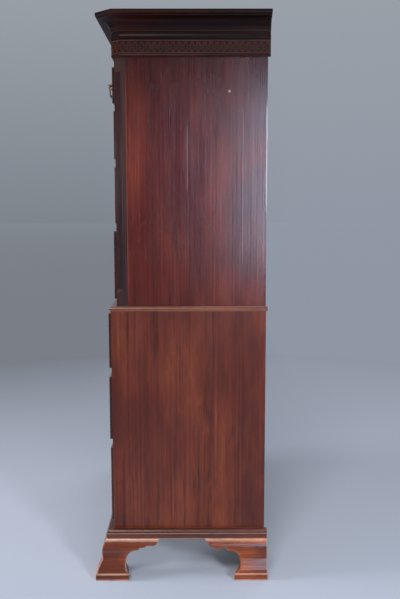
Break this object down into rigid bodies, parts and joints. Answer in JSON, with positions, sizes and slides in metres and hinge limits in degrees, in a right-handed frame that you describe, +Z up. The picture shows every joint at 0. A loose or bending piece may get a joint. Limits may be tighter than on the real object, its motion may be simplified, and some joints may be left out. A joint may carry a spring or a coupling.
{
  "type": "chest on chest",
  "caption": "Mahogany chest on chest: drawers in two stacked cases, canted fluted corners, moulded cornice and ogee bracket feet.",
  "frame": {"origin": "on the floor, under the middle of the whole chest (centre of the bounding box's underside)", "axes": "+Z up, -Y towards the front with the drawers, X across the front"},
  "size_m": [1.1686, 0.5838, 1.88],
  "materials": {
    "lower_case_mahogany": "polished, worn",
    "upper_case_mahogany": "polished, worn",
    "post_mahogany": "polished",
    "frieze_mahogany": "polished",
    "cornice_mahogany": "polished",
    "waist_mahogany": "polished",
    "base_mahogany": "polished",
    "foot_mahogany": "polished, rubbed",
    "front_mahogany": "polished",
    "rail_mahogany": "polished",
    "oak": "unfinished",
    "pine": "unfinished",
    "brass": "old, lightly polished"
  },
  "bodies": {
    "carcasses": {"lower_sides": "lower_case_mahogany", "lower_top_board": "oak", "lower_bottom_board": "oak", "lower_back_boards": "pine", "lower_rails": "rail_mahogany", "lower_runners": "oak", "waist_moulding": "waist_mahogany", "base_moulding": "base_mahogany", "front_feet": "foot_mahogany", "back_feet": "foot_mahogany", "upper_sides": "upper_case_mahogany", "upper_corner_posts": "post_mahogany", "upper_top_board": "pine", "upper_bottom_board": "oak", "upper_back_boards": "pine", "upper_rails": "rail_mahogany", "upper_runners": "oak", "frieze": "frieze_mahogany", "cornice": "cornice_mahogany"},
    "lower_low_drawer": {"lower_low_drawer_front": "front_mahogany", "lower_low_drawer_linings": "oak", "lower_low_drawer_brasses": "brass"},
    "lower_low_drawer_bail_left": {"lower_low_drawer_bail_left": "brass"},
    "lower_low_drawer_bail_right": {"lower_low_drawer_bail_right": "brass"},
    "lower_middle_drawer": {"lower_middle_drawer_front": "front_mahogany", "lower_middle_drawer_linings": "oak", "lower_middle_drawer_brasses": "brass"},
    "lower_middle_drawer_bail_left": {"lower_middle_drawer_bail_left": "brass"},
    "lower_middle_drawer_bail_right": {"lower_middle_drawer_bail_right": "brass"},
    "lower_high_drawer": {"lower_high_drawer_front": "front_mahogany", "lower_high_drawer_linings": "oak", "lower_high_drawer_brasses": "brass"},
    "lower_high_drawer_bail_left": {"lower_high_drawer_bail_left": "brass"},
    "lower_high_drawer_bail_right": {"lower_high_drawer_bail_right": "brass"},
    "upper_low_drawer": {"upper_low_drawer_front": "front_mahogany", "upper_low_drawer_linings": "oak", "upper_low_drawer_brasses": "brass"},
    "upper_low_drawer_bail_left": {"upper_low_drawer_bail_left": "brass"},
    "upper_low_drawer_bail_right": {"upper_low_drawer_bail_right": "brass"},
    "upper_middle_drawer": {"upper_middle_drawer_front": "front_mahogany", "upper_middle_drawer_linings": "oak", "upper_middle_drawer_brasses": "brass"},
    "upper_middle_drawer_bail_left": {"upper_middle_drawer_bail_left": "brass"},
    "upper_middle_drawer_bail_right": {"upper_middle_drawer_bail_right": "brass"},
    "upper_high_drawer": {"upper_high_drawer_front": "front_mahogany", "upper_high_drawer_linings": "oak", "upper_high_drawer_brasses": "brass"},
    "upper_high_drawer_bail_left": {"upper_high_drawer_bail_left": "brass"},
    "upper_high_drawer_bail_right": {"upper_high_drawer_bail_right": "brass"},
    "short_left_drawer": {"short_left_drawer_front": "front_mahogany", "short_left_drawer_linings": "oak", "short_left_drawer_brasses": "brass"},
    "short_left_drawer_bail_left": {"short_left_drawer_bail_left": "brass"},
    "short_left_drawer_bail_right": {"short_left_drawer_bail_right": "brass"},
    "short_right_drawer": {"short_right_drawer_front": "front_mahogany", "short_right_drawer_linings": "oak", "short_right_drawer_brasses": "brass"},
    "short_right_drawer_bail_left": {"short_right_drawer_bail_left": "brass"},
    "short_right_drawer_bail_right": {"short_right_drawer_bail_right": "brass"}
  },
  "joints": [
    {"name": "lower_low_drawer_slide", "type": "slide", "parent": "carcasses", "child": "lower_low_drawer", "axis": [0, -1, 0], "range_m": [0, 0.38]},
    {"name": "lower_low_drawer_bail_left_hinge", "type": "hinge", "parent": "lower_low_drawer", "child": "lower_low_drawer_bail_left", "pos_m": [-0.24, -0.256, 0.32375], "axis": [-1, 0, 0], "range_deg": [-23, 203]},
    {"name": "lower_low_drawer_bail_right_hinge", "type": "hinge", "parent": "lower_low_drawer", "child": "lower_low_drawer_bail_right", "pos_m": [0.24, -0.256, 0.32375], "axis": [-1, 0, 0], "range_deg": [-23, 203]},
    {"name": "lower_middle_drawer_slide", "type": "slide", "parent": "carcasses", "child": "lower_middle_drawer", "axis": [0, -1, 0], "range_m": [0, 0.38]},
    {"name": "lower_middle_drawer_bail_left_hinge", "type": "hinge", "parent": "lower_middle_drawer", "child": "lower_middle_drawer_bail_left", "pos_m": [-0.24, -0.2578, 0.5915], "axis": [-1, 0, 0], "range_deg": [-23, 203]},
    {"name": "lower_middle_drawer_bail_right_hinge", "type": "hinge", "parent": "lower_middle_drawer", "child": "lower_middle_drawer_bail_right", "pos_m": [0.24, -0.2578, 0.5915], "axis": [-1, 0, 0], "range_deg": [-23, 203]},
    {"name": "lower_high_drawer_slide", "type": "slide", "parent": "carcasses", "child": "lower_high_drawer", "axis": [0, -1, 0], "range_m": [0, 0.38]},
    {"name": "lower_high_drawer_bail_left_hinge", "type": "hinge", "parent": "lower_high_drawer", "child": "lower_high_drawer_bail_left", "pos_m": [-0.24, -0.2568, 0.82425], "axis": [-1, 0, 0], "range_deg": [-23, 203]},
    {"name": "lower_high_drawer_bail_right_hinge", "type": "hinge", "parent": "lower_high_drawer", "child": "lower_high_drawer_bail_right", "pos_m": [0.24, -0.2568, 0.82425], "axis": [-1, 0, 0], "range_deg": [-23, 203]},
    {"name": "upper_low_drawer_slide", "type": "slide", "parent": "carcasses", "child": "upper_low_drawer", "axis": [0, -1, 0], "range_m": [0, 0.36]},
    {"name": "upper_low_drawer_bail_left_hinge", "type": "hinge", "parent": "upper_low_drawer", "child": "upper_low_drawer_bail_left", "pos_m": [-0.24, -0.2386, 1.077], "axis": [-1, 0, 0], "range_deg": [-23, 203]},
    {"name": "upper_low_drawer_bail_right_hinge", "type": "hinge", "parent": "upper_low_drawer", "child": "upper_low_drawer_bail_right", "pos_m": [0.24, -0.2386, 1.077], "axis": [-1, 0, 0], "range_deg": [-23, 203]},
    {"name": "upper_middle_drawer_slide", "type": "slide", "parent": "carcasses", "child": "upper_middle_drawer", "axis": [0, -1, 0], "range_m": [0, 0.36]},
    {"name": "upper_middle_drawer_bail_left_hinge", "type": "hinge", "parent": "upper_middle_drawer", "child": "upper_middle_drawer_bail_left", "pos_m": [-0.24, -0.2332, 1.31], "axis": [-1, 0, 0], "range_deg": [-23, 203]},
    {"name": "upper_middle_drawer_bail_right_hinge", "type": "hinge", "parent": "upper_middle_drawer", "child": "upper_middle_drawer_bail_right", "pos_m": [0.24, -0.2332, 1.31], "axis": [-1, 0, 0], "range_deg": [-23, 203]},
    {"name": "upper_high_drawer_slide", "type": "slide", "parent": "carcasses", "child": "upper_high_drawer", "axis": [0, -1, 0], "range_m": [0, 0.36]},
    {"name": "upper_high_drawer_bail_left_hinge", "type": "hinge", "parent": "upper_high_drawer", "child": "upper_high_drawer_bail_left", "pos_m": [-0.24, -0.2337, 1.50725], "axis": [-1, 0, 0], "range_deg": [-23, 203]},
    {"name": "upper_high_drawer_bail_right_hinge", "type": "hinge", "parent": "upper_high_drawer", "child": "upper_high_drawer_bail_right", "pos_m": [0.24, -0.2337, 1.50725], "axis": [-1, 0, 0], "range_deg": [-23, 203]},
    {"name": "short_left_drawer_slide", "type": "slide", "parent": "carcasses", "child": "short_left_drawer", "axis": [0, -1, 0], "range_m": [0, 0.36]},
    {"name": "short_left_drawer_bail_left_hinge", "type": "hinge", "parent": "short_left_drawer", "child": "short_left_drawer_bail_left", "pos_m": [-0.362, -0.237, 1.66875], "axis": [-1, 0, 0], "range_deg": [-23, 203]},
    {"name": "short_left_drawer_bail_right_hinge", "type": "hinge", "parent": "short_left_drawer", "child": "short_left_drawer_bail_right", "pos_m": [-0.118, -0.237, 1.66875], "axis": [-1, 0, 0], "range_deg": [-23, 203]},
    {"name": "short_right_drawer_slide", "type": "slide", "parent": "carcasses", "child": "short_right_drawer", "axis": [0, -1, 0], "range_m": [0, 0.36]},
    {"name": "short_right_drawer_bail_left_hinge", "type": "hinge", "parent": "short_right_drawer", "child": "short_right_drawer_bail_left", "pos_m": [0.118, -0.237, 1.66875], "axis": [-1, 0, 0], "range_deg": [-23, 203]},
    {"name": "short_right_drawer_bail_right_hinge", "type": "hinge", "parent": "short_right_drawer", "child": "short_right_drawer_bail_right", "pos_m": [0.362, -0.237, 1.66875], "axis": [-1, 0, 0], "range_deg": [-23, 203]}
  ]
}
